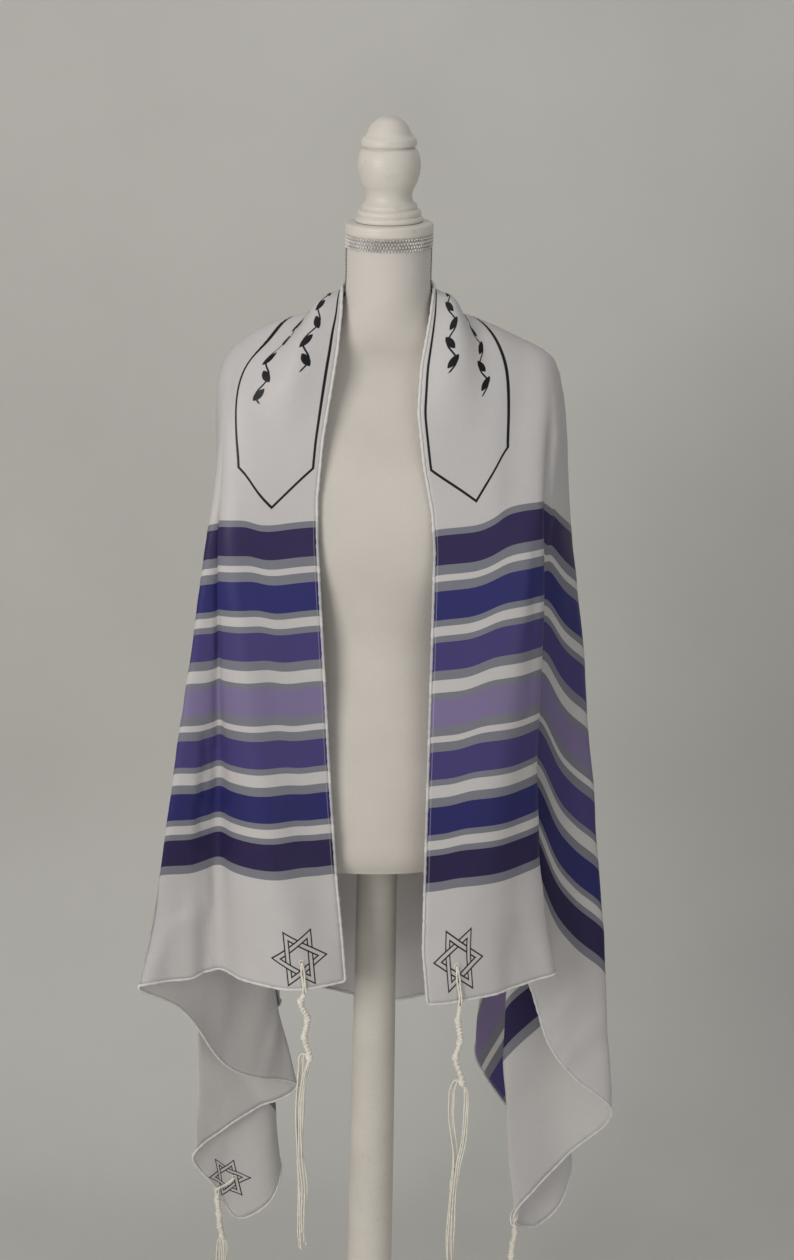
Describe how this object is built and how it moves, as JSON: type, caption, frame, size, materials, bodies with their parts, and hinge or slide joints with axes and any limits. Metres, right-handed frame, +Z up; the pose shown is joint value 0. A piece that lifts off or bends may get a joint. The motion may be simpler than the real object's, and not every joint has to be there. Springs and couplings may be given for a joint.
{
  "type": "tallit prayer shawl on a limbless dress form",
  "caption": "Striped silk prayer shawl with corner tassels, worn like a cape on a limbless dress form with a turned stand.",
  "frame": {"origin": "on the floor under the neck of the dress form, on the underside of the stand's base", "axes": "+Z up, the open front faces -Y, the wearer's left side is at +X"},
  "size_m": [0.6021, 0.4344, 1.8302],
  "materials": {
    "silk": "satin silk, white with woven violet, blue, purple, lavender and grey stripes",
    "thread": "twisted cream wool thread",
    "form_cover": "tightly stretched matt cream cloth",
    "braid": "silver-grey woven braid",
    "painted_wood": "satin off-white paint on turned wood, slightly worn"
  },
  "bodies": {
    "root": {"front_right": "silk", "pleat_right": "silk", "side_right": "silk", "tail_right": "silk", "hind_right": "silk", "front_left": "silk", "inside_left": "silk", "tail_left": "silk", "hind_left": "silk", "back": "silk", "tassel_knots_front_right": "thread", "tassel_knots_front_left": "thread", "tassel_knots_back_right": "thread", "tassel_knots_back_left": "thread", "tassel_strands_front_right": "thread", "tassel_strands_front_left": "thread", "tassel_strands_back_right": "thread", "tassel_strands_back_left": "thread", "form_body": "form_cover", "neck_braid": "braid", "neck_cap": "painted_wood", "finial": "painted_wood", "pole": "painted_wood", "base": "painted_wood"}
  },
  "joints": []
}
